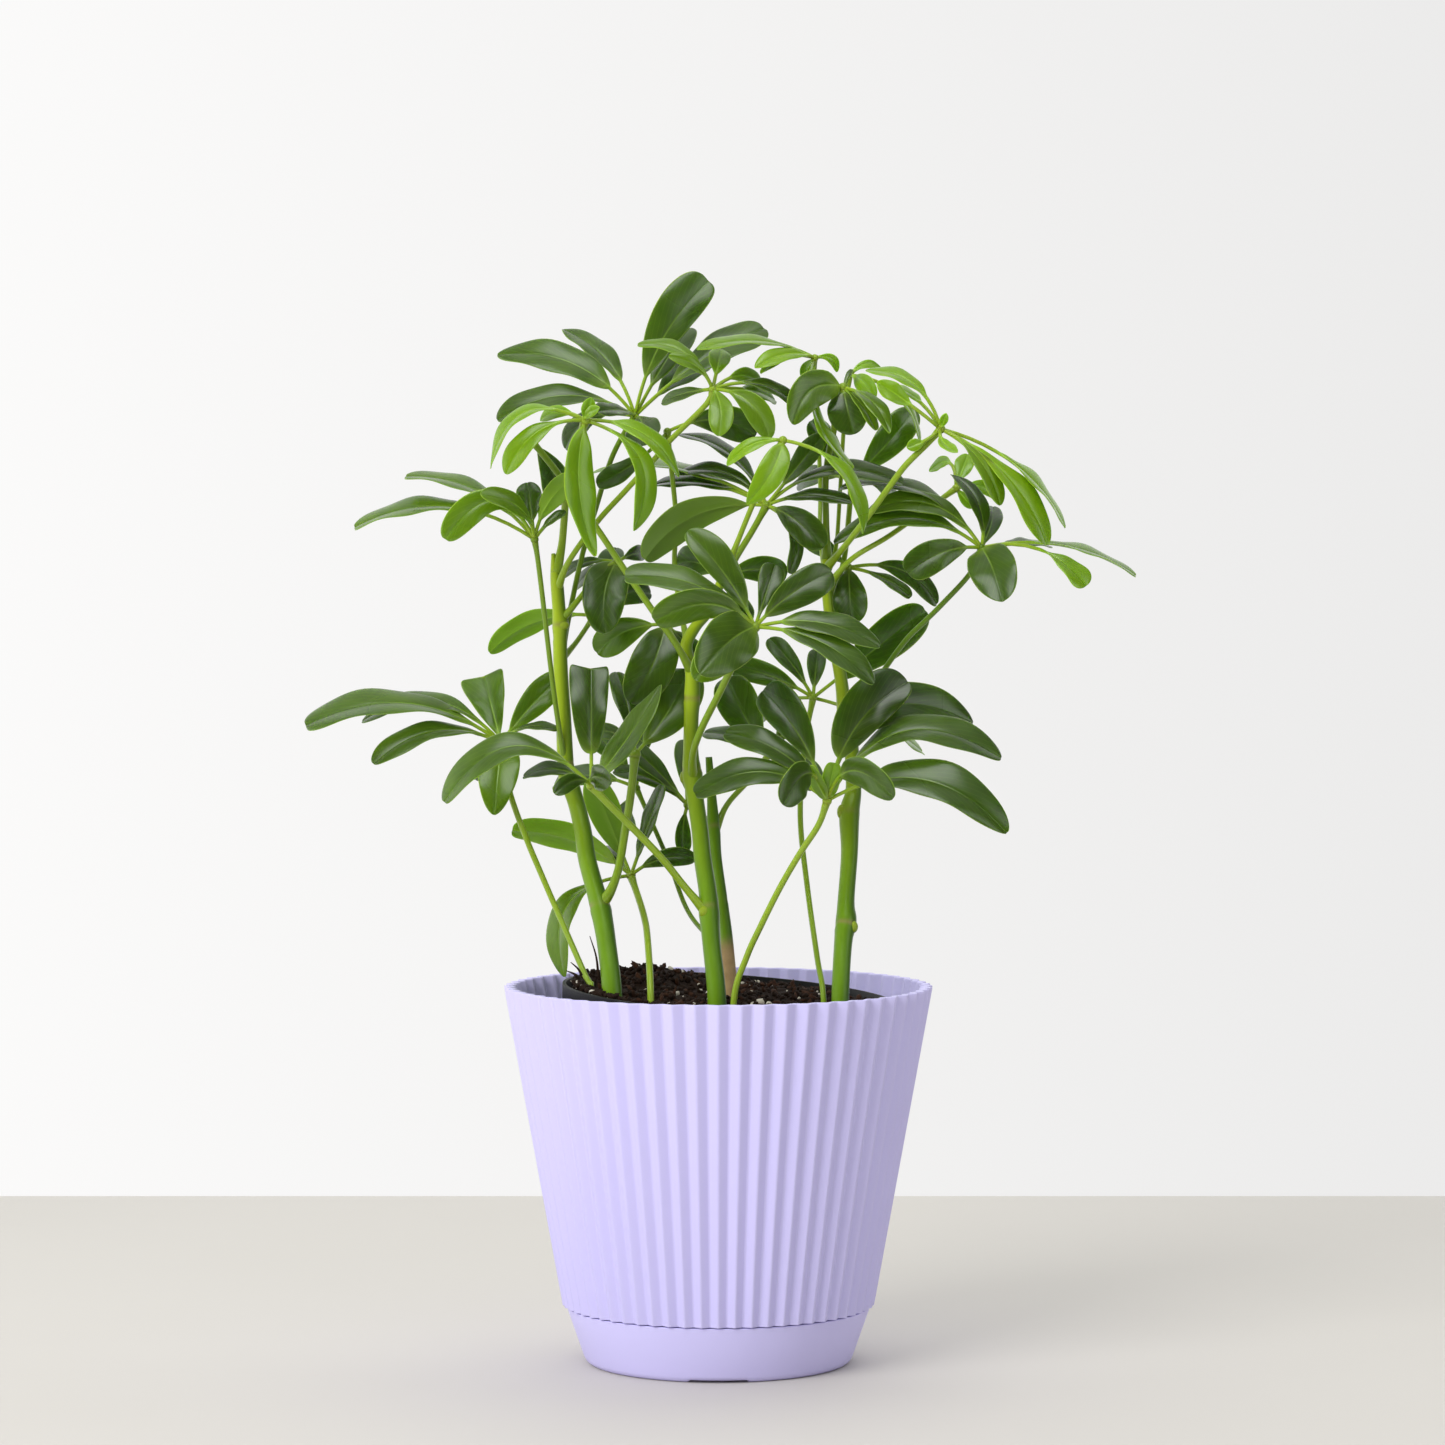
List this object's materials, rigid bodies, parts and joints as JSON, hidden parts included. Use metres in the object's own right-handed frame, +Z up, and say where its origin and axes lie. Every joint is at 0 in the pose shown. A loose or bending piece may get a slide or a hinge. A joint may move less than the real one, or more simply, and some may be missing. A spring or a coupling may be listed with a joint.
{
  "type": "potted dwarf umbrella tree",
  "caption": "Small umbrella tree with fans of oval leaflets on green stems, in soil in a nursery pot, inside a pleated lilac plastic pot with a plain saucer.",
  "frame": {"origin": "middle of the saucer's underside, on the surface that the pot stands on, under the pot's axis", "axes": "+Z up along the pot's axis, the longest extent; -Y is the plant's front, +X is the viewer's right"},
  "size_m": [0.2954, 0.152, 0.3856],
  "materials": {
    "lilac_plastic": "satin moulded lilac plastic",
    "black_plastic": "thin black nursery pot plastic",
    "soil": "damp dark potting soil with white grains",
    "green_stem": "smooth green bark with pale scars",
    "brown_stem": "dry brown and grey-green bark",
    "mature_leaf": "thick glossy dark green leaf",
    "young_leaf": "glossy light yellow-green young leaf"
  },
  "bodies": {
    "root": {"saucer": "lilac_plastic", "pot": "lilac_plastic", "nursery_pot": "black_plastic", "soil": "soil", "stem_left": "green_stem", "stem_middle": "green_stem", "stem_behind": "brown_stem", "stem_right": "green_stem", "leaf_top_left": "mature_leaf", "leaf_top_inner": "mature_leaf", "leaf_top_young": "young_leaf", "leaf_middle_young": "young_leaf", "leaf_middle_dark": "mature_leaf", "leaf_top_right": "mature_leaf", "leaf_tip_young": "young_leaf", "leaf_tip_small": "young_leaf", "leaf_right_behind": "mature_leaf", "leaf_right_high": "young_leaf", "leaf_right_small": "young_leaf", "leaf_right_long": "mature_leaf", "leaf_right_inner": "mature_leaf", "leaf_left_young": "young_leaf", "leaf_left_hidden": "mature_leaf", "leaf_left_upper": "mature_leaf", "leaf_left_behind": "mature_leaf", "leaf_centre_dark": "mature_leaf", "leaf_centre_behind": "mature_leaf", "leaf_left_dark": "mature_leaf", "leaf_far_left": "mature_leaf", "leaf_left_front": "mature_leaf", "leaf_centre_front": "mature_leaf", "leaf_low_right": "mature_leaf", "leaf_back_right": "mature_leaf", "leaf_back_centre": "mature_leaf", "leaf_low_left": "mature_leaf", "leaf_centre_left": "mature_leaf", "leaf_back_left": "mature_leaf", "leaf_back_low": "mature_leaf"}
  },
  "joints": []
}
